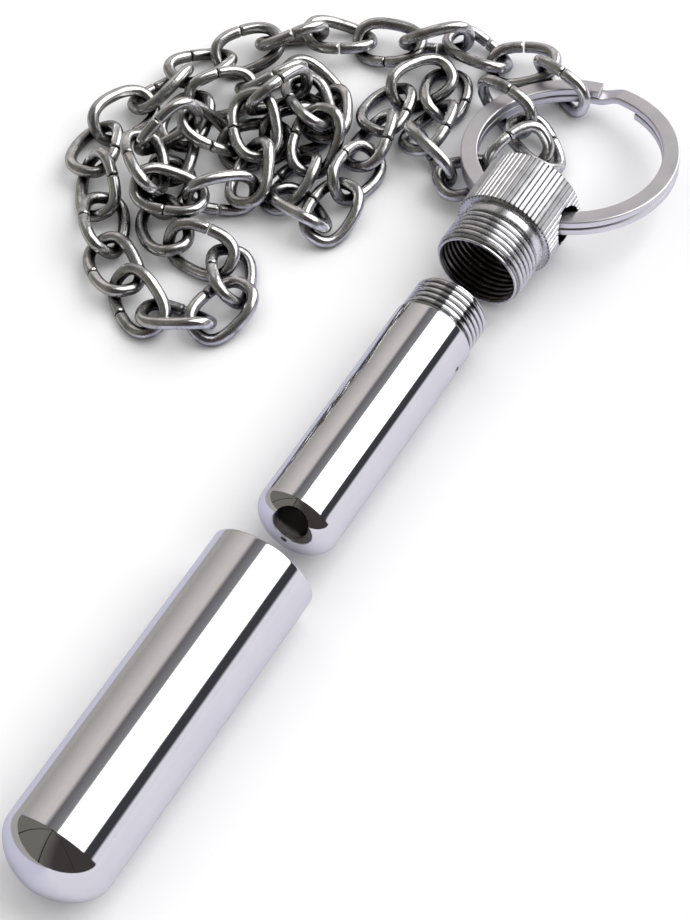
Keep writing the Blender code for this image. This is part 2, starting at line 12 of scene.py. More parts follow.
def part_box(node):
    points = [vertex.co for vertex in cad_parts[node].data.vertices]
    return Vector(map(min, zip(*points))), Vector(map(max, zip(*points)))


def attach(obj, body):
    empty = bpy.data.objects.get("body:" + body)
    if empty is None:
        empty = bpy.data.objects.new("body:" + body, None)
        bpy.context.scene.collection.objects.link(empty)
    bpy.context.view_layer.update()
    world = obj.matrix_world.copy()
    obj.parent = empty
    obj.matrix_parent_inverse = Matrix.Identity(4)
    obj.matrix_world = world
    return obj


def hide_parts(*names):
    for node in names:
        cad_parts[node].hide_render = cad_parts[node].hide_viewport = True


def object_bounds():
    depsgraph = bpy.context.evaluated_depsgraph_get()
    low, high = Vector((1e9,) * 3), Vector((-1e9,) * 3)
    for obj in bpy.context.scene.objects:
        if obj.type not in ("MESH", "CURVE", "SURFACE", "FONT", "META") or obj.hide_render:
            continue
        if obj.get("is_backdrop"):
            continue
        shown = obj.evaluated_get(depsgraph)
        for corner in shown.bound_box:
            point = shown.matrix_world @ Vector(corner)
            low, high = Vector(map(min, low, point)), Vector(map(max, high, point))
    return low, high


MM = 0.001

# ---- threads, rims and domes, millimetres ----
THREAD_PITCH = 1.2
THREAD_ROW_STEP = 0.075
THREAD_FADE = 0.5
THREAD_LEAD = 0.3
THREAD_CREST_PART = 0.26
THREAD_ROOT_PART = 0.14
RIM_ROUND = 0.3
WALL_FROM_DOME = 0.4
WALL_FROM_EDGE = 0.5
DOME_FIRST_ANGLE = 4
DOME_ROWS = 40
BORE_ROWS = 12

# ---- outer sleeve ----
SLEEVE_DOME = 7.4
SLEEVE_DOME_POWER = 1.8
SLEEVE_BORE = 9.15
SLEEVE_THREAD_ROOT = 9.5
SLEEVE_THREAD_LENGTH = 9.0
SLEEVE_PLAIN_BORE_FROM_MOUTH = 10.0
SLEEVE_LIP_RADIUS = SLEEVE_THREAD_ROOT - 0.2
SLEEVE_LIP_ROUND = 0.15
SLEEVE_END_WALL = 1.2
SLEEVE_INNER_DOME = SLEEVE_DOME - 0.4
SLEEVE_WALL_ROWS = 24

# ---- inner capsule ----
CAPSULE_DOME = 5.1
CAPSULE_DOME_POWER = 2.1
CAPSULE_BORE = 6.5
CAPSULE_THREAD_ROOT = 7.1
CAPSULE_THREAD_CREST = 7.55
CAPSULE_THREAD_LENGTH = 6.9
CAPSULE_PLAIN_BORE_FROM_END = 1.0
CAPSULE_SHOULDER_SETBACK = 0.05
CAPSULE_SHOULDER_ROUND = 0.35
CAPSULE_LIP_ROUND = 0.2
CAPSULE_END_WALL = 1.1
CAPSULE_INNER_DOME = CAPSULE_DOME - 0.3
CAPSULE_WALL_ROWS = 22
BIG_HOLE_RADIUS = 3.25
BIG_HOLE_OFFSET = 4.65
BIG_HOLE_TURN = math.radians(80)
BIG_HOLE_TILT = math.radians(32)
BIG_HOLE_SETBACK = 1.2
BIG_HOLE_CUT = 5.4
VENT_RADIUS = 0.6
VENT_SETBACK = 0.5
VENT_CUT = 6.0
SIDE_HOLE_RADIUS = 0.6
SIDE_HOLE_INSET = 0.6
SIDE_HOLE_FROM_END = 12.0
SIDE_HOLE_CUT = 4.0
HOLE_SIDES = 72
SMALL_HOLE_SIDES = 32

# ---- screw cap ----
CAP_SHOULDER = 10.2
CAP_SHOULDER_RADIUS = 9.3
CAP_FACE_RADII = (3.0, 6.0, 8.0)
CAP_FACE_MARGIN = 0.9
CAP_EDGE_ROUND = 0.45
CAP_EDGE_ROWS = 5
CAP_FLUTES = 64
CAP_FLUTE_ROWS = 10
CAP_FLUTES_FROM_END = 1.2
CAP_FLUTES_FROM_SHOULDER = 0.35
CAP_FLUTE_GROOVE = 0.22
CAP_FLUTE_CROWN = 0.05
CAP_KNURL_DEPTH = 0.27
CAP_KNURL_DEPTH_AT_SHOULDER = CAP_KNURL_DEPTH * 1.2
# Height above the shoulder, and how far in from the head's radius.
CAP_SHOULDER_CHAMFER = ((0.1, 0.06), (0.0, 0.2))
CAP_THREAD_CREST = 8.95
CAP_THREAD_ROOT = 8.4
CAP_THREAD_START = 0.35
CAP_THREAD_LENGTH = 7.4
CAP_NECK_RADIUS = 8.6
# Heights above the thread between which the neck narrows.
CAP_NECK_TAPER = (0.45, 0.15)
CAP_NECK_TAPER_RADIUS = CAP_THREAD_ROOT + 0.05
# Height above the mouth, and radius.
CAP_LIP = ((0.1, CAP_THREAD_ROOT - 0.02), (0.0, CAP_THREAD_ROOT - 0.12))
CAP_GROOVE_RADIUS = 8.25
# Distances below the shoulder between which the groove is cut.
CAP_GROOVE_FROM_SHOULDER = (0.05, 0.30)
CAP_NECK_FROM_SHOULDER = 0.42
CAP_SOCKET_BORE = 7.7
CAP_SOCKET_ROOT = 8.0
CAP_SOCKET_THREAD = 10.4
# Depth in from the mouth, and how much wider than the bore.
CAP_SOCKET_CHAMFER = (0.25, 0.08)
CAP_SOCKET_DEPTH = 12.0
CAP_SOCKET_FLOOR_EDGE = 0.3
CAP_SOCKET_FLOOR_INNER = 3.0
CROSS_HOLE_RADIUS = 3.95
CROSS_HOLE_FROM_END = 4.95
CROSS_HOLE_TILT = math.radians(7.4)
CROSS_HOLE_CUT = 24.0

# ---- split ring ----
RING_INNER = 18.0
RING_OUTER = 21.3
RING_WIRE_THICKNESS = 1.6
RING_TURN_GAP = 0.1
RING_CORNER = 0.32
RING_CORNER_POINTS = 6
RING_START = math.radians(72)
RING_CRANK_START = math.radians(99 - 360)
RING_CRANK_END = math.radians(85 - 360)
RING_END = math.radians(99 - 720)
RING_STEPS = 520

# ---- chain link ----
WIRE_RADIUS = 1.175
LINK_HALF_LENGTH = 6.67
LINK_HALF_WIDTH = 4.255
LINK_SQUARENESS = 2.6
LINK_TWIST = -math.radians(32)
LINK_BUTT_GAP = 0.3
LINK_STEPS = 72
LINK_OUTLINE_POINTS = 1441
WIRE_SIDES = 18
WIRE_END_SIZE = 0.88
WIRE_END_STEP = 0.35
PACKED_LINK_SECTIONS = 15
NEAR_BUTT_GAP = 0.4

# ---- camera: where it looks, from the sleeve's tip on the table, and how ----
LOOK_AT = (-2.6, 98.5, 0.0)
CAMERA_DISTANCE = 382.4
CAMERA_AZIMUTH = math.radians(31.61)
CAMERA_ELEVATION = math.radians(58.74)
CAMERA_LENS = 81.88
CAMERA_CLIP = (0.01, 20.0)
SENSOR = 36.0

# ---- columns of faces round the turned pieces ----
TUBE_COLUMNS = 192
CAP_COLUMNS = 256
HEAD_COLUMNS = 512

# ---- depth of the bumps in the materials, metres ----
FINE_BUMP = 0.00005
DENT_BUMP = 0.0003

# ---- studio: colours, sizes in metres, power in watts ----
# Brightness of the studio round the tubes' axis, from 0 at straight down on the left, through
# 0.5 overhead, to 1 at straight down on the right: a grey wall, a soft box, a black flag.
STUDIO_BANDS = (
    (0.00, (0.52, 0.52, 0.62)), (0.215, (0.52, 0.52, 0.62)), (0.225, (0.33, 0.32, 0.31)),
    (0.27, (0.38, 0.36, 0.35)), (0.37, (0.60, 0.56, 0.55)), (0.405, (0.60, 0.56, 0.55)),
    (0.428, (0.13, 0.125, 0.135)), (0.485, (0.24, 0.24, 0.26)), (0.495, (2.6, 2.6, 2.6)),
    (0.650, (2.6, 2.6, 2.6)), (0.660, (0.045, 0.045, 0.055)), (0.708, (0.045, 0.045, 0.055)),
    (0.722, (0.76, 0.75, 0.81)), (1.00, (0.72, 0.71, 0.80)),
)
# The dark umbrella on the camera's side: its cloth from left to right, its ribs, the direction
# (X, Y) of its top, and the range of Y over which it gives way to the bands.
UMBRELLA_CLOTH = ((0.34, (0.160, 0.153, 0.135)), (0.58, (0.050, 0.043, 0.043)))
UMBRELLA_RIB = (0.028, 0.026, 0.024)
UMBRELLA_RIBS = 8
UMBRELLA_RIB_WIDTH = 0.022
UMBRELLA_TOP = (-0.22, 0.13)
UMBRELLA_EDGE = (0.10, 0.22)
BACKDROP = (0.96, 0.96, 0.97)
# The floor's painted reflection in the metals, with a painted shade band on its left, across the tubes:
# 0.5 is under their axis.
FLOOR_PAINTED_IN_METAL = ((0.435, (0.33, 0.32, 0.31)), (0.448, (0.33, 0.32, 0.31)),
                  (0.452, (0.50, 0.50, 0.61)), (0.49, (0.50, 0.50, 0.61)),
                  (0.51, (0.62, 0.61, 0.68)), (0.70, (0.66, 0.65, 0.72)))
FLOOR_AXIS = 0.5
FLOOR_RADIUS = 4.0
FLOOR_SIDES = 96
OVERHEAD_SIZE = 7.0
OVERHEAD_AHEAD = 0.1
OVERHEAD_HEIGHT = 2.5
OVERHEAD_POWER = 108.0

# ---------------------------------------------------------------- camera and stage

def sleeve_origin():
    """The point of the table under the sleeve's tip, in metres."""
    low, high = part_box("outer_sleeve")
    return Vector(((low[0] + high[0]) / 2, low[1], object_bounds()[0][2]))


def add_camera():
    """The photograph's view, from above and beside the sleeve's domed end."""
    target = sleeve_origin() + Vector(LOOK_AT) * MM
    forward = Vector((-math.cos(CAMERA_ELEVATION) * math.sin(CAMERA_AZIMUTH),
                      math.cos(CAMERA_ELEVATION) * math.cos(CAMERA_AZIMUTH),
                      -math.sin(CAMERA_ELEVATION)))
    data = bpy.data.cameras.new("camera")
    data.lens = CAMERA_LENS
    data.sensor_width = SENSOR
    data.clip_start, data.clip_end = CAMERA_CLIP
    camera = bpy.data.objects.new("camera", data)
    bpy.context.collection.objects.link(camera)
    camera.location = target - forward * CAMERA_DISTANCE * MM
    camera.rotation_euler = forward.to_track_quat("-Z", "Y").to_euler()
    bpy.context.scene.camera = camera


# ---------------------------------------------------------------- node helpers

class Nodes:
    """A node tree with short calls for the nodes used here."""

    def __init__(self, tree):
        self.tree = tree

    def add(self, kind, **inputs):
        node = self.tree.nodes.new(kind)
        for key, value in inputs.items():
            name = key.replace("_", " ")
            if hasattr(value, "is_output"):
                self.tree.links.new(value, node.inputs[name])
            else:
                node.inputs[name].default_value = value
        return node

    def link(self, source, socket):
        self.tree.links.new(source, socket)

    def split(self, space):
        """The X, Y and Z outputs of a coordinate space, such as Object."""
        place = self.add("ShaderNodeTexCoord")
        return self.add("ShaderNodeSeparateXYZ", Vector=place.outputs[space]).outputs

    def light_path(self, kind):
        return self.add("ShaderNodeLightPath").outputs[kind]

    def coordinates(self, scale):
        place = self.add("ShaderNodeTexCoord")
        mapping = self.add("ShaderNodeMapping", Vector=place.outputs["Object"], Scale=scale)
        return mapping.outputs["Vector"]

    def noise(self, scale, detail=4.0, roughness=0.55):
        """Noise over object coordinates; scale is features per metre, for each axis."""
        scale = scale if isinstance(scale, tuple) else (scale, scale, scale)
        node = self.add("ShaderNodeTexNoise", Vector=self.coordinates(scale), Scale=1.0,
                        Detail=detail, Roughness=roughness)
        return node.outputs["Fac"]

    def ramp(self, value, stops, interpolation="LINEAR"):
        node = self.add("ShaderNodeValToRGB", Fac=value)
        band = node.color_ramp
        band.interpolation = interpolation
        while len(band.elements) < len(stops):
            band.elements.new(0.5)
        for element, (position, colour) in zip(band.elements, stops):
            element.position = position
            element.color = (*colour, 1.0) if isinstance(colour, tuple) else (colour,) * 3 + (1.0,)
        return node.outputs["Color"]

    def math(self, operation, *values):
        node = self.tree.nodes.new("ShaderNodeMath")
        node.operation = operation
        for socket, value in zip(node.inputs, values):
            if hasattr(value, "is_output"):
                self.link(value, socket)
            else:
                socket.default_value = value
        return node.outputs[0]

    def mix(self, factor, first, second, blend="MIX"):
        node = self.tree.nodes.new("ShaderNodeMix")
        node.data_type = "RGBA"
        node.blend_type = blend
        for socket, value in zip((node.inputs[0], node.inputs[6], node.inputs[7]),
                                 (factor, first, second)):
            if hasattr(value, "is_output"):
                self.link(value, socket)
            elif isinstance(value, tuple):
                socket.default_value = (*value, 1.0)
            else:
                socket.default_value = value
        return node.outputs[2]

    def bump(self, height, strength, distance, under=None):
        node = self.add("ShaderNodeBump", Height=height, Strength=strength, Distance=distance)
        if under is not None:
            self.link(under, node.inputs["Normal"])
        return node.outputs["Normal"]

    def darker(self, colour, factor):
        """The colour multiplied by another colour."""
        return self.mix(1.0, colour, factor, "MULTIPLY")


class Surface(Nodes):
    """A new material with its Principled shader."""

    def __init__(self, name):
        self.material = bpy.data.materials.new(name)
        self.material.use_nodes = True
        super().__init__(self.material.node_tree)
        self.shader = self.tree.nodes["Principled BSDF"]

    def metal(self, colour, roughness, normal):
        self.link(colour, self.shader.inputs["Base Color"])
        self.link(roughness, self.shader.inputs["Roughness"])
        self.link(normal, self.shader.inputs["Normal"])
        self.shader.inputs["Metallic"].default_value = 1.0
        return self.material

    def painted_crevice_shade(self, reach, shade):
        """Painted shade: white in the open, down to the shade where a surface faces a close neighbour.
        """
        node = self.tree.nodes.new("ShaderNodeAmbientOcclusion")
        node.samples = 8
        node.inputs["Distance"].default_value = reach
        return self.ramp(node.outputs["AO"], [(0.30, shade), (0.90, 1.0)])

    def from_axis(self):
        """Distance in millimetres from the common axis of the turned pieces, the object's own Y."""
        place = self.split("Object")
        across = self.math("MULTIPLY", place["X"], place["X"])
        up = self.math("MULTIPLY", place["Z"], place["Z"])
        return self.math("MULTIPLY", self.math("SQRT", self.math("ADD", across, up)), 1 / MM)

    def painted_groove_shade(self, root, crest, shade):
        """Painted shade: the shade at the root radius, white from the crest radius outwards."""
        depth = self.math("DIVIDE", self.math("SUBTRACT", self.from_axis(), root), crest - root)
        return self.ramp(depth, [(0.08, shade), (0.85, 1.0)])


def polished_steel(name, grooves=None):
    """Mirror polish with faint lathe lines round the tube and hairlines along it."""
    nodes = Surface(name)
    lathe = nodes.noise((400, 9000, 400), 3.0)
    hairs = nodes.noise((5200, 120, 5200), 3.0)
    smears = nodes.noise(160, 5.0)
    colour = nodes.ramp(smears, [(0.3, (0.85, 0.85, 0.865)), (0.7, (0.90, 0.90, 0.905))])
    # Painted shade in the thread's roots, when grooves are given.
    if grooves is not None:
        colour = nodes.darker(colour, nodes.painted_groove_shade(*grooves))
    roughness = nodes.ramp(smears, [(0.35, 0.03), (0.75, 0.075)])
    normal = nodes.bump(lathe, 0.030, FINE_BUMP)
    normal = nodes.bump(hairs, 0.025, FINE_BUMP, normal)
    return nodes.metal(colour, roughness, normal)


def bored_steel(name, dark, light):
    """The duller surface inside a bore, its colours given for each piece, with the drill's fine rings.
    """
    nodes = Surface(name)
    stains = nodes.noise(380, 5.0, 0.6)
    rings = nodes.noise((300, 6000, 300), 4.0)
    colour = nodes.ramp(stains, [(0.3, dark), (0.75, light)])
    roughness = nodes.ramp(stains, [(0.3, 0.42), (0.7, 0.26)])
    return nodes.metal(colour, roughness, nodes.bump(rings, 0.12, FINE_BUMP))


def turned_steel(name, grooves=None, polish=(0.20, 0.32)):
    """Bright turned steel, with painted shade in its grooves."""
    nodes = Surface(name)
    grain = nodes.noise(2600, 5.0, 0.6)
    lathe = nodes.noise((500, 7000, 500), 4.0)
    blotch = nodes.noise(420, 6.0, 0.65)
    colour = nodes.ramp(blotch, [(0.32, (0.62, 0.62, 0.63)), (0.5, (0.84, 0.84, 0.85)),
                                 (0.75, (0.93, 0.93, 0.94))])
    # Painted shade in the thread's roots or between the flutes, when grooves are given.
    if grooves is not None:
        colour = nodes.darker(colour, nodes.painted_groove_shade(*grooves))
    roughness = nodes.ramp(grain, [(0.3, polish[0]), (0.7, polish[1])])
    normal = nodes.bump(grain, 0.16, FINE_BUMP)
    normal = nodes.bump(lathe, 0.10, FINE_BUMP, normal)
    return nodes.metal(colour, roughness, normal)


def ring_nickel():
    """Smooth satin plating, rubbed a little brighter in places, with painted shade where other surfaces
    lie close.
    """
    nodes = Surface("ring_satin_nickel")
    haze = nodes.noise(220, 4.0, 0.5)
    drawn = nodes.noise(1500, 3.0, 0.5)
    colour = nodes.ramp(haze, [(0.3, (0.83, 0.82, 0.845)), (0.7, (0.90, 0.89, 0.915))])
    # Painted shade: occlusion darkens the colour where other surfaces lie close.
    colour = nodes.darker(colour, nodes.painted_crevice_shade(0.0009, 0.25))
    roughness = nodes.ramp(haze, [(0.3, 0.33), (0.7, 0.40)])
    return nodes.metal(colour, roughness, nodes.bump(drawn, 0.03, FINE_BUMP))


def chain_steel():
    """Drawn and tumbled wire: soft dents, duller patches, painted shade where links meet."""
    nodes = Surface("chain_tumbled_steel")
    patches = nodes.noise(330, 5.0, 0.6)
    dents = nodes.noise(520, 3.0)
    grain = nodes.noise(3800, 4.0, 0.65)
    colour = nodes.ramp(patches, [(0.30, (0.40, 0.40, 0.39)), (0.48, (0.82, 0.82, 0.81)),
                                  (0.66, (0.98, 0.98, 0.97))])
    # Painted shade: occlusion darkens the colour where links meet.
    colour = nodes.darker(colour, nodes.painted_crevice_shade(0.0060, 0.01))
    roughness = nodes.ramp(patches, [(0.3, 0.32), (0.7, 0.17)])
    normal = nodes.bump(dents, 0.18, DENT_BUMP)
    normal = nodes.bump(grain, 0.06, FINE_BUMP, normal)
    return nodes.metal(colour, roughness, normal)


def floor_paint():
    """Pale paint; glossy rays see a painted reflection of it, greyer, with painted shade beyond the
    left edge of the lit sheet.
    """
    nodes = Surface("floor_paint")
    cloud = nodes.noise(3.0, 2.0)
    seen = nodes.ramp(cloud, [(0.3, (0.88, 0.88, 0.89)), (0.7, (0.90, 0.90, 0.91))])
    across = nodes.math("ADD", nodes.split("Object")["X"], FLOOR_AXIS)
    painted_reflection = nodes.ramp(across, FLOOR_PAINTED_IN_METAL)
    # Painted reflection: glossy rays see the greyer, banded colour.
    colour = nodes.mix(nodes.light_path("Is Glossy Ray"), seen, painted_reflection)
    nodes.link(colour, nodes.shader.inputs["Base Color"])
    nodes.shader.inputs["Roughness"].default_value = 0.9
    nodes.shader.inputs["Specular IOR Level"].default_value = 0.0
    return nodes.material


def add_floor():
    """A wide disc level with the underside of the object."""
    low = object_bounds()[0]
    centre = sleeve_origin()
    bm = bmesh.new()
    bmesh.ops.create_circle(bm, cap_ends=True, segments=FLOOR_SIDES, radius=FLOOR_RADIUS)
    mesh = bpy.data.meshes.new("floor")
    bm.to_mesh(mesh)
    bm.free()
    mesh.materials.append(floor_paint())
    floor = bpy.data.objects.new("floor", mesh)
    bpy.context.collection.objects.link(floor)
    floor.location = (centre.x, centre.y, low[2])
    floor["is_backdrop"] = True


def add_overhead():
    """A large soft light over the floor that the metals do not mirror."""
    data = bpy.data.lights.new("overhead", "AREA")
    data.shape = "DISK"
    data.size = OVERHEAD_SIZE
    data.energy = OVERHEAD_POWER
    light = bpy.data.objects.new("overhead", data)
    bpy.context.collection.objects.link(light)
    light.location = sleeve_origin() + Vector((0, OVERHEAD_AHEAD, OVERHEAD_HEIGHT))
    light.visible_glossy = False
    light.visible_camera = False


def umbrella(nodes, direction):
    """The dark umbrella: ribs run out from its top, and its right is darker."""
    right = nodes.math("SUBTRACT", direction["X"], UMBRELLA_TOP[0])
    front = nodes.math("SUBTRACT", UMBRELLA_TOP[1], direction["Y"])
    angle = nodes.math("ARCTAN2", right, front)
    count = nodes.math("MULTIPLY", angle, UMBRELLA_RIBS / (2 * math.pi))
    part = nodes.math("FRACT", nodes.math("ADD", count, UMBRELLA_RIBS + 0.5))
    away = nodes.math("ABSOLUTE", nodes.math("SUBTRACT", part, 0.5))
    square = nodes.math("ADD", nodes.math("MULTIPLY", right, right),
                        nodes.math("MULTIPLY", front, front))
    across = nodes.math("MULTIPLY", away, nodes.math("SQRT", square))
    rib = nodes.math("LESS_THAN", across, UMBRELLA_RIB_WIDTH)
    cloth = nodes.ramp(nodes.math("MULTIPLY_ADD", direction["X"], 0.5, 0.5), UMBRELLA_CLOTH)
    return nodes.mix(rib, cloth, UMBRELLA_RIB)


def add_studio():
    """Soft studio light from the world: bands along the tubes' direction, dark on the camera's side."""
    world = bpy.data.worlds.new("studio")
    world.use_nodes = True
    bpy.context.scene.world = world
    nodes = Nodes(world.node_tree)
    direction = nodes.split("Generated")
    angle = nodes.math("ARCTAN2", direction["X"], direction["Z"])
    turn = nodes.math("MULTIPLY_ADD", angle, 1 / (2 * math.pi), 0.5)
    bands = nodes.ramp(turn, STUDIO_BANDS)
    side = nodes.add("ShaderNodeMapRange", Value=direction["Y"], From_Min=UMBRELLA_EDGE[0],
                     From_Max=UMBRELLA_EDGE[1])
    side.interpolation_type = "SMOOTHSTEP"
    studio = nodes.mix(side.outputs[0], umbrella(nodes, direction), bands)
    seen = nodes.mix(nodes.light_path("Is Camera Ray"), studio, BACKDROP)
    background = nodes.tree.nodes["Background"]
    nodes.link(seen, background.inputs["Color"])
    background.inputs["Strength"].default_value = 1.0


# ---------------------------------------------------------------- meshes

def finish_piece(name, mesh, nodes, sharp_angle=35):
    """Puts a mesh in the scene, smooth but for edges sharper than the angle, for its CAD nodes."""
    mesh.shade_smooth()
    mesh.set_sharp_from_angle(angle=math.radians(sharp_angle))
    piece = bpy.data.objects.new(name, mesh)
    bpy.context.collection.objects.link(piece)
    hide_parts(*nodes)
    return piece


def mesh_from(name, points, faces, materials):
    """A mesh from points in millimetres, its faces turned outwards."""
    mesh = bpy.data.meshes.new(name)
    for material in materials:
        mesh.materials.append(material)
    mesh.from_pydata((np.asarray(points) * MM).tolist(), [], faces)
    mesh.update()
    bm = bmesh.new()
    bm.from_mesh(mesh)
    bmesh.ops.recalc_face_normals(bm, faces=bm.faces[:])
    bm.to_mesh(mesh)
    bm.free()
    return mesh


def zone(index, rows):
    """Marks rows with the material of the band that leads to each of them."""
    return [(y, radii, index) for y, radii in rows]


def lathe(name, rows, materials):
    """Skins rows of (y, radii, zone) round the Y axis, from one axis point to another.

    A row's radii are an array with one radius for each column; neighbouring rows have equal
    columns or twice as many.
    """
    points = [(0.0, rows[0][0], 0.0)]
    faces = []
    starts = []
    zones = []
    for y, radii, _ in rows[1:-1]:
        count = len(radii)
        angles = 2 * math.pi * np.arange(count) / count
        starts.append((len(points), count))
        points += list(zip(radii * np.cos(angles), np.full(count, y), radii * np.sin(angles)))
    points.append((0.0, rows[-1][0], 0.0))
    first, count = starts[0]
    faces += [(0, first + k, first + (k + 1) % count) for k in range(count)]
    zones += [rows[1][2]] * count
    for (one, one_count), (two, two_count), row in zip(starts, starts[1:], rows[2:]):
        if one_count > two_count:
            one, one_count, two, two_count = two, two_count, one, one_count
        ratio = two_count // one_count
        for k in range(one_count):
            many = [two + (k * ratio + step) % two_count for step in range(ratio + 1)]
            faces.append((one + k, *many, one + (k + 1) % one_count))
        zones += [row[2]] * one_count
    last, count = starts[-1]
    end = len(points) - 1
    faces += [(end, last + k, last + (k + 1) % count) for k in range(count)]
    zones += [rows[-1][2]] * count
    mesh = mesh_from(name, points, faces, materials)
    mesh.polygons.foreach_set("material_index", zones)
    return mesh


def ring_row(y, radius, columns):
    return y, np.full(columns, float(radius))


def wall_rows(start, end, radius, columns, count):
    """Rows of one radius, evenly spaced from one height to another."""
    return [ring_row(y, radius, columns) for y in np.linspace(start, end, count)]


def dome_rows(tip_y, radius, depth, power, columns, inward=False):
    """A superellipse dome from its tip to its full radius, or back to the tip."""
    angles = np.radians(np.linspace(DOME_FIRST_ANGLE, 90, DOME_ROWS))
    out = np.sin(angles) ** (2 / power)
    along = 1 - np.cos(angles) ** (2 / power)
    rows = [ring_row(tip_y + depth * a, radius * o, columns) for a, o in zip(along, out)]
    return rows[::-1] if inward else rows


def wave(phase):
    """Thread profile: 1 on the crest, 0 in the root, smooth between."""
    away = abs((phase + 0.5) % 1.0 - 0.5) * 2
    flank = 1 - THREAD_ROOT_PART - THREAD_CREST_PART
    rise = np.clip((1 - THREAD_ROOT_PART - away) / flank, 0, 1)
    return rise * rise * (3 - 2 * rise)


def thread_rows(start, end, low_radius, high_radius, columns, fade_radius):
    """A right-handed thread between two heights; its ends fade into one of its two radii."""
    count = int(abs(end - start) / THREAD_ROW_STEP)
    turn = np.arange(columns) / columns
    rows = []
    for y in np.linspace(start, end, count):
        height = wave((y - min(start, end)) / THREAD_PITCH - turn)
        from_end = min(abs(y - start), abs(y - end)) / THREAD_FADE
        strength = min(max(from_end, 0.0), 1.0)
        radii = low_radius + (high_radius - low_radius) * height
        rows.append((y, fade_radius + (radii - fade_radius) * strength))
    return rows


def rounded(y, radius, dy, dr, columns, steps=4):
    """A quarter-round edge: from (y, radius - dr) to (y - dy, radius)."""
    angles = np.linspace(0, math.pi / 2, steps + 1)
    return [ring_row(y - dy * (1 - math.cos(a)), radius - dr * (1 - math.sin(a)), columns)
            for a in angles]


# Zones of a turned piece, in the order of its materials.
PLAIN, BORE, THREAD, KNURL = range(4)


def cylinder_cutter(materials, location, direction, radius, length, sides=HOLE_SIDES):
    """A drill as long as the length, centred on the location, whose cut walls are bore."""
    bm = bmesh.new()
    bmesh.ops.create_cone(bm, cap_ends=True, segments=sides, radius1=radius * MM,
                          radius2=radius * MM, depth=length * MM)
    mesh = bpy.data.meshes.new("cutter")
    bm.to_mesh(mesh)
    bm.free()
    for material in materials:
        mesh.materials.append(material)
    mesh.polygons.foreach_set("material_index", [BORE] * len(mesh.polygons))
    turn = Vector((0, 0, 1)).rotation_difference(Vector(direction)).to_matrix().to_4x4()
    mesh.transform(Matrix.Translation(Vector(location) * MM) @ turn)
    cutter = bpy.data.objects.new("cutter", mesh)
    bpy.context.collection.objects.link(cutter)
    return cutter


def drill(mesh, holes):
    """Cuts round holes, each the values of a cylinder_cutter, through a mesh."""
    for hole in holes:
        cutter = cylinder_cutter(list(mesh.materials), *hole)
        body = bpy.data.objects.new("blank", mesh)
        bpy.context.collection.objects.link(body)
        modifier = body.modifiers.new("hole", "BOOLEAN")
        modifier.operation = "DIFFERENCE"
        modifier.solver = "EXACT"
        modifier.object = cutter
        graph = bpy.context.evaluated_depsgraph_get()
        mesh = bpy.data.meshes.new_from_object(body.evaluated_get(graph))
        bpy.data.objects.remove(body, do_unlink=True)
        bpy.data.objects.remove(cutter, do_unlink=True)
    return mesh


def on_axis(node):
    """The point where the common axis meets a turned node's lower Y end, in metres."""
    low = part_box(node)[0]
    sleeve_low, sleeve_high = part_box("outer_sleeve")
    return Vector(((sleeve_low[0] + sleeve_high[0]) / 2, low[1],
                   (sleeve_low[2] + sleeve_high[2]) / 2))


def length_of(node):
    low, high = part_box(node)
    return (high[1] - low[1]) / MM


def radius_of(node):
    low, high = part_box(node)
    return (high[0] - low[0]) / 2 / MM


def add_sleeve():
    """Built from the dome's tip over the mouth and back to the inner dome."""
    radius = radius_of("outer_sleeve")
    mouth = length_of("outer_sleeve")
    columns = TUBE_COLUMNS
    body = dome_rows(0.0, radius, SLEEVE_DOME, SLEEVE_DOME_POWER, columns)
    body += wall_rows(SLEEVE_DOME + WALL_FROM_DOME, mouth - WALL_FROM_EDGE, radius, columns,
                      SLEEVE_WALL_ROWS)
    body += rounded(mouth, radius, RIM_ROUND, RIM_ROUND, columns)[::-1]
    body += rounded(mouth, SLEEVE_LIP_RADIUS, SLEEVE_LIP_ROUND, -SLEEVE_LIP_ROUND, columns)
    start = mouth - THREAD_LEAD
    thread = thread_rows(start, start - SLEEVE_THREAD_LENGTH, SLEEVE_THREAD_ROOT, SLEEVE_BORE,
                         columns, SLEEVE_BORE)
    bore = wall_rows(mouth - SLEEVE_PLAIN_BORE_FROM_MOUTH,
                     SLEEVE_END_WALL + SLEEVE_INNER_DOME + WALL_FROM_EDGE, SLEEVE_BORE, columns,
                     BORE_ROWS)
    bore += dome_rows(SLEEVE_END_WALL, SLEEVE_BORE, SLEEVE_INNER_DOME, SLEEVE_DOME_POWER, columns,
                      inward=True)
    bore.append((SLEEVE_END_WALL, None))
    rows = zone(PLAIN, [(0.0, None)] + body) + zone(BORE, thread + bore)
    materials = [polished_steel("sleeve_polished_steel"),
                 bored_steel("sleeve_bored_steel", (0.30, 0.29, 0.28), (0.46, 0.45, 0.44))]
    piece = finish_piece("sleeve_shell", lathe("sleeve_shell", rows, materials), ["outer_sleeve"])
    piece.location = on_axis("outer_sleeve")
    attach(piece, "outer_sleeve")


def capsule_holes(radius, length):
    """The large hole beside the tip, the vent at the tip and the hole near the thread."""
    outward = Vector((math.cos(BIG_HOLE_TURN), 0, math.sin(BIG_HOLE_TURN)))
    direction = outward * math.sin(BIG_HOLE_TILT) - Vector((0, math.cos(BIG_HOLE_TILT), 0))
    centre = outward * BIG_HOLE_OFFSET + Vector((0, BIG_HOLE_SETBACK, 0))
    side = (radius - SIDE_HOLE_INSET, length - SIDE_HOLE_FROM_END, 0)
    return [(centre, direction, BIG_HOLE_RADIUS, BIG_HOLE_CUT),
            ((0, VENT_SETBACK, 0), (0, 1, 0), VENT_RADIUS, VENT_CUT, SMALL_HOLE_SIDES),
            (side, (1, 0, 0), SIDE_HOLE_RADIUS, SIDE_HOLE_CUT, SMALL_HOLE_SIDES)]


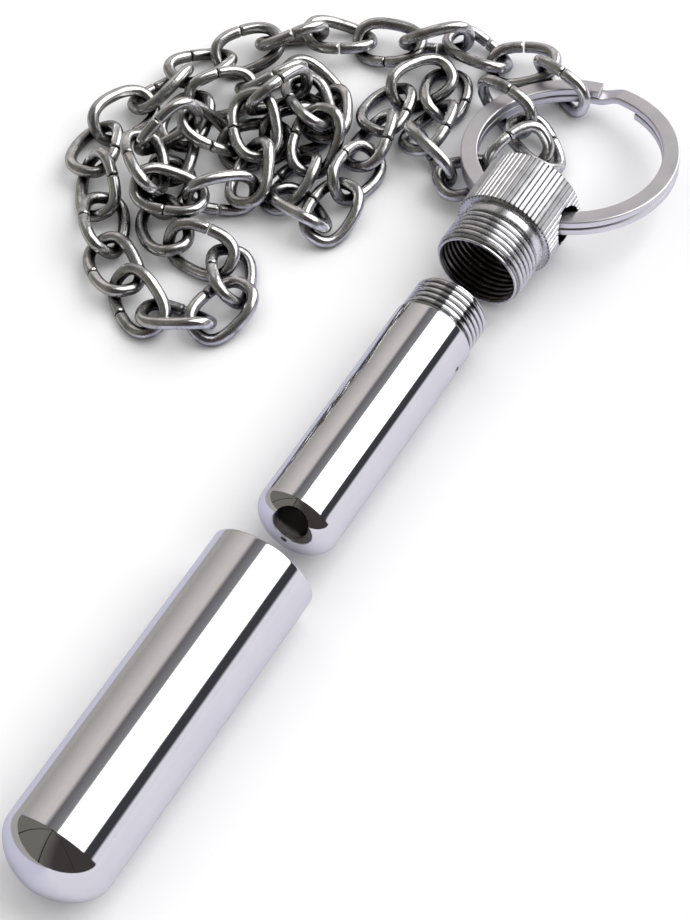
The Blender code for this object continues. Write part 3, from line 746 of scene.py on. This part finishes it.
def add_capsule():
    """Built from the dome's tip over the threaded end and back to the inner dome."""
    radius = radius_of("inner_capsule")
    end = length_of("inner_capsule")
    columns = TUBE_COLUMNS
    shoulder = end - THREAD_LEAD - CAPSULE_THREAD_LENGTH
    body = dome_rows(0.0, radius, CAPSULE_DOME, CAPSULE_DOME_POWER, columns)
    body += wall_rows(CAPSULE_DOME + WALL_FROM_DOME, shoulder - WALL_FROM_EDGE, radius, columns,
                      CAPSULE_WALL_ROWS)
    body += rounded(shoulder - CAPSULE_SHOULDER_SETBACK, radius, RIM_ROUND, CAPSULE_SHOULDER_ROUND,
                    columns)[::-1]
    thread = thread_rows(shoulder, end - THREAD_LEAD, CAPSULE_THREAD_ROOT, CAPSULE_THREAD_CREST,
                         columns, CAPSULE_THREAD_ROOT)
    lip = rounded(end, CAPSULE_THREAD_ROOT, CAPSULE_LIP_ROUND, CAPSULE_LIP_ROUND, columns)[::-1]
    lip += rounded(end, CAPSULE_BORE, CAPSULE_LIP_ROUND, -CAPSULE_LIP_ROUND, columns)
    bore = wall_rows(end - CAPSULE_PLAIN_BORE_FROM_END,
                     CAPSULE_END_WALL + CAPSULE_INNER_DOME + WALL_FROM_EDGE, CAPSULE_BORE, columns,
                     BORE_ROWS)
    bore += dome_rows(CAPSULE_END_WALL, CAPSULE_BORE, CAPSULE_INNER_DOME, CAPSULE_DOME_POWER,
                      columns, inward=True)
    bore.append((CAPSULE_END_WALL, None))
    rows = zone(PLAIN, [(0.0, None)] + body) + zone(THREAD, thread)
    rows += zone(PLAIN, lip) + zone(BORE, bore)
    materials = [polished_steel("capsule_polished_steel"),
                 # Painted light: the bore and hole walls are coloured nearly white, for light that
                 # barely enters the capsule.
                 bored_steel("capsule_bore_painted_light", (0.72, 0.71, 0.69), (0.92, 0.91, 0.89)),
                 # Painted shade in the thread's roots.
                 polished_steel("capsule_thread_steel",
                                (CAPSULE_THREAD_ROOT, CAPSULE_THREAD_CREST, 0.12))]
    mesh = drill(lathe("capsule_shell", rows, materials), capsule_holes(radius, end))
    piece = finish_piece("capsule_shell", mesh, ["inner_capsule"])
    piece.location = on_axis("inner_capsule")
    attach(piece, "inner_capsule")


def knurl_row(y, radius, depth):
    """Wide flat crests with narrow V grooves between them."""
    phase = (np.arange(HEAD_COLUMNS) * CAP_FLUTES / HEAD_COLUMNS) % 1.0
    groove = np.clip(1 - abs(phase - 0.5) / CAP_FLUTE_GROOVE, 0, 1)
    crown = CAP_FLUTE_CROWN * np.clip(1 - abs(phase - 0.5) / 0.5, 0, 1)
    return y, radius - depth * groove - crown * depth


def cap_head_rows(end, radius):
    """The head, from the middle of its end face down its flutes to the shoulder."""
    face_radii = (*CAP_FACE_RADII, radius - CAP_FACE_MARGIN)
    face = [ring_row(end, face_radius, HEAD_COLUMNS) for face_radius in face_radii]
    edge = [knurl_row(end - CAP_EDGE_ROUND * (1 - math.cos(angle)),
                      radius - CAP_EDGE_ROUND * (1 - math.sin(angle)),
                      CAP_KNURL_DEPTH * math.sin(angle))
            for angle in np.linspace(0, math.pi / 2, CAP_EDGE_ROWS)]
    flutes = [knurl_row(y, radius, CAP_KNURL_DEPTH)
              for y in np.linspace(end - CAP_FLUTES_FROM_END,
                                   CAP_SHOULDER + CAP_FLUTES_FROM_SHOULDER, CAP_FLUTE_ROWS)]
    flutes += [knurl_row(CAP_SHOULDER + rise, radius - inset, CAP_KNURL_DEPTH_AT_SHOULDER)
               for rise, inset in CAP_SHOULDER_CHAMFER]
    return zone(PLAIN, [(end, None)] + face) + zone(KNURL, edge + flutes)


def cap_neck_rows(neck_end, columns):
    """The shoulder's underside, the fine groove under it and the plain neck."""
    groove_starts, groove_ends = CAP_GROOVE_FROM_SHOULDER
    taper_starts, taper_ends = CAP_NECK_TAPER
    rows = [ring_row(CAP_SHOULDER, CAP_SHOULDER_RADIUS, columns),
            ring_row(CAP_SHOULDER, CAP_NECK_RADIUS, columns),
            ring_row(CAP_SHOULDER - groove_starts, CAP_GROOVE_RADIUS, columns),
            ring_row(CAP_SHOULDER - groove_ends, CAP_GROOVE_RADIUS, columns),
            ring_row(CAP_SHOULDER - CAP_NECK_FROM_SHOULDER, CAP_NECK_RADIUS, columns),
            ring_row(neck_end + taper_starts, CAP_NECK_RADIUS, columns),
            ring_row(neck_end + taper_ends, CAP_NECK_TAPER_RADIUS, columns)]
    return zone(PLAIN, rows)


def cap_socket_rows(columns):
    """The socket, from the cap's mouth down its thread to the middle of its floor."""
    chamfer, widening = CAP_SOCKET_CHAMFER
    rows = [ring_row(0.0, CAP_SOCKET_ROOT, columns),
            ring_row(chamfer, CAP_SOCKET_BORE + widening, columns)]
    rows += thread_rows(CAP_THREAD_START, CAP_SOCKET_THREAD, CAP_SOCKET_ROOT, CAP_SOCKET_BORE,
                        columns, CAP_SOCKET_BORE)
    rows += [ring_row(CAP_SOCKET_DEPTH - CAP_SOCKET_FLOOR_EDGE, CAP_SOCKET_BORE, columns),
             ring_row(CAP_SOCKET_DEPTH, CAP_SOCKET_BORE - CAP_SOCKET_FLOOR_EDGE, columns),
             ring_row(CAP_SOCKET_DEPTH, CAP_SOCKET_FLOOR_INNER, columns), (CAP_SOCKET_DEPTH, None)]
    return zone(PLAIN, rows[:1]) + zone(BORE, rows[1:])


def add_cap():
    """Built from the head's end face to the socket's floor."""
    end = length_of("screw_cap")
    low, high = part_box("screw_cap")
    radius = (high[2] - low[2]) / 2 / MM
    neck_end = CAP_THREAD_START + CAP_THREAD_LENGTH
    columns = CAP_COLUMNS
    thread = thread_rows(neck_end, CAP_THREAD_START, CAP_THREAD_ROOT, CAP_THREAD_CREST, columns,
                         CAP_THREAD_ROOT)
    lip = [ring_row(y, lip_radius, columns) for y, lip_radius in CAP_LIP]
    rows = cap_head_rows(end, radius) + cap_neck_rows(neck_end, columns)
    rows += zone(THREAD, thread) + zone(PLAIN, lip) + cap_socket_rows(columns)
    materials = [turned_steel("cap_turned_steel"),
                 bored_steel("cap_bored_steel", (0.07, 0.067, 0.063), (0.27, 0.25, 0.23)),
                 # Painted shade in the thread's roots and between the flutes.
                 turned_steel("cap_thread_steel", (CAP_THREAD_ROOT, CAP_THREAD_CREST, 0.24)),
                 turned_steel("cap_knurl_steel", (radius - CAP_KNURL_DEPTH, radius, 0.20),
                              (0.30, 0.42))]
    hole = ((0, end - CROSS_HOLE_FROM_END, 0),
            (math.cos(CROSS_HOLE_TILT), 0, math.sin(CROSS_HOLE_TILT)), CROSS_HOLE_RADIUS,
            CROSS_HOLE_CUT)
    mesh = drill(lathe("cap_turned", rows, materials), [hole])
    piece = finish_piece("cap_turned", mesh, ["screw_cap"], sharp_angle=28)
    piece.location = on_axis("screw_cap")
    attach(piece, "screw_cap")


# ---------------------------------------------------------------- swept pieces

def sweep(name, sections, material):
    """Skins equal closed sections one after the other and closes both ends."""
    count = len(sections[0])
    points = np.concatenate(sections)
    faces = []
    for step in range(len(sections) - 1):
        base = step * count
        for k in range(count):
            ahead = (k + 1) % count
            faces.append((base + k, base + ahead, base + count + ahead, base + count + k))
    faces.append(tuple(range(count)))
    faces.append(tuple(range(len(points) - count, len(points))))
    return mesh_from(name, points, faces, [material])


def ring_section():
    """Corners of the flat wire, radius and height, with round edges."""
    half = RING_WIRE_THICKNESS / 2
    corner = RING_CORNER
    middles = ((RING_OUTER - corner, half - corner), (RING_INNER + corner, half - corner),
               (RING_INNER + corner, corner - half), (RING_OUTER - corner, corner - half))
    section = []
    for quarter, (radius, height) in enumerate(middles):
        for angle in np.linspace(0, math.pi / 2, RING_CORNER_POINTS) + quarter * math.pi / 2:
            section.append((radius + corner * math.cos(angle), height + corner * math.sin(angle)))
    return np.array(section)


def ring_frame():
    """The ring's centre in metres and its three axes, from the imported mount."""
    mount = next(m for m in frame["record"]["mounts"] if m["name"] == "ring_loop")
    normal = np.array(mount["axis"])
    normal /= np.linalg.norm(normal)
    across = np.array([1.0, 0.0, 0.0])
    across -= normal * (across @ normal)
    across /= np.linalg.norm(across)
    return Vector(mount["pos_m"]), across, np.cross(normal, across), normal


def add_ring():
    """One flat wire of two turns, with the crank where it changes level."""
    centre, across, along, normal = ring_frame()
    section = ring_section()
    level = (RING_WIRE_THICKNESS + RING_TURN_GAP) / 2
    sections = []
    for angle in np.linspace(RING_START, RING_END, RING_STEPS):
        part = (RING_CRANK_START - angle) / (RING_CRANK_START - RING_CRANK_END)
        part = min(max(part, 0.0), 1.0)
        height = level * (2 * part * part * (3 - 2 * part) - 1)
        outward = math.cos(angle) * across + math.sin(angle) * along
        sections.append(section[:, :1] * outward + (section[:, 1:] + height) * normal)
    mesh = sweep("ring_coil", sections, ring_nickel())
    piece = finish_piece("ring_coil", mesh, ["split_ring"], sharp_angle=40)
    piece.location = centre
    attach(piece, "split_ring")


def link_line(count):
    """Centre line of the bent wire, from one side of its butt gap round to the other."""
    angles = np.linspace(0, 2 * math.pi, LINK_OUTLINE_POINTS)
    cosine, sine = np.cos(angles), np.sin(angles)
    power = 2 / LINK_SQUARENESS
    x = LINK_HALF_LENGTH * np.sign(cosine) * abs(cosine) ** power
    y = LINK_HALF_WIDTH * np.sign(sine) * abs(sine) ** power
    at = np.concatenate([[0], np.cumsum(np.hypot(np.diff(x), np.diff(y)))])
    length = at[-1]
    start = length / 4 + LINK_BUTT_GAP / 2
    along = (start + (length - LINK_BUTT_GAP) * np.linspace(0, 1, count)) % length
    x, y = np.interp(along, at, x), np.interp(along, at, y)
    turn = LINK_TWIST * x / (2 * LINK_HALF_LENGTH)
    return np.stack([x, y * np.cos(turn), y * np.sin(turn)], axis=1)


def wire_sections(line):
    """Round sections square to the line, a little smaller at the two cut ends."""
    ahead = np.roll(line, -1, axis=0)
    behind = np.roll(line, 1, axis=0)
    ahead[-1], behind[0] = line[-1], line[0]
    tangents = ahead - behind
    tangents /= np.linalg.norm(tangents, axis=1)[:, None]
    angles = 2 * math.pi * np.arange(WIRE_SIDES) / WIRE_SIDES
    side = np.array([0.0, 0.0, 1.0])
    sections = []
    for step, (point, tangent) in enumerate(zip(line, tangents)):
        side = side - tangent * (side @ tangent)
        side /= np.linalg.norm(side)
        up = np.cross(tangent, side)
        at_end = step in (0, len(line) - 1)
        radius = WIRE_RADIUS * (WIRE_END_SIZE if at_end else 1.0)
        sections.append(point + radius * (np.cos(angles)[:, None] * side
                                          + np.sin(angles)[:, None] * up))
    return sections


def own_frame(points):
    """Centre and axes (rows: long, wide, thin) of a link's points, with its butt gap on +wide."""
    centre = points.mean(axis=0)
    spread = points - centre
    _, axes = np.linalg.eigh(spread.T @ spread)
    long, wide = axes[:, 2], axes[:, 1]
    thin = np.cross(long, wide)
    local = spread @ np.stack([long, wide, thin]).T
    middle = local[abs(local[:, 0]) < NEAR_BUTT_GAP]
    if (middle[:, 1] > 0).sum() < (middle[:, 1] < 0).sum():
        wide, thin = -wide, -thin
    return centre, np.stack([long, wide, thin])


def link_place(node, pattern):
    """Turn and shift, in millimetres, from a link at rest at the origin to a packed link."""
    points = np.array([vertex.co[:] for vertex in frame["nodes"][node].data.vertices])
    centre, axes = own_frame(np.unique(np.round(points, 7), axis=0) / MM)
    pattern_centre, pattern_axes = pattern
    turn = pattern_axes.T @ axes
    return turn, centre - pattern_centre @ turn


def body_of_node(node):
    bodies = frame["record"]["behaviour"]["bodies"]
    return next(name for name, nodes in bodies.items() if node in nodes)


def add_chain():
    """One fine link, set where each packed link lies."""
    line = link_line(LINK_STEPS)
    line = np.insert(line, 1, line[0] + (line[1] - line[0]) * WIRE_END_STEP, axis=0)
    line = np.insert(line, -1, line[-1] + (line[-2] - line[-1]) * WIRE_END_STEP, axis=0)
    sections = wire_sections(line)
    pattern = own_frame(np.concatenate(wire_sections(link_line(PACKED_LINK_SECTIONS))))
    steel = chain_steel()
    for node in sorted(name for name in frame["nodes"] if name.startswith("chain_link")):
        turn, shift = link_place(node, pattern)
        placed = [section @ turn + shift for section in sections]
        name = node.replace("chain_link", "link_wire")
        piece = finish_piece(name, sweep(name, placed, steel), [node],
                             sharp_angle=50)
        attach(piece, body_of_node(node))


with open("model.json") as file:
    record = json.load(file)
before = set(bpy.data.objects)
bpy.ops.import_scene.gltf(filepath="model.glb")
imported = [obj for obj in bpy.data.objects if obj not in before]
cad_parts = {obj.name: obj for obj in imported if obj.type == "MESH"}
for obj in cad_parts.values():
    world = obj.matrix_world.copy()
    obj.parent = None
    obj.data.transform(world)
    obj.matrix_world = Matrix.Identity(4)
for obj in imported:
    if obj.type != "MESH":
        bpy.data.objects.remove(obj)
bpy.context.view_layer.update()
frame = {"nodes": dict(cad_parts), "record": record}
add_camera()
add_floor()
add_studio()
add_overhead()
add_sleeve()
add_capsule()
add_cap()
add_ring()
add_chain()
bpy.context.scene.view_settings.view_transform = "Standard"
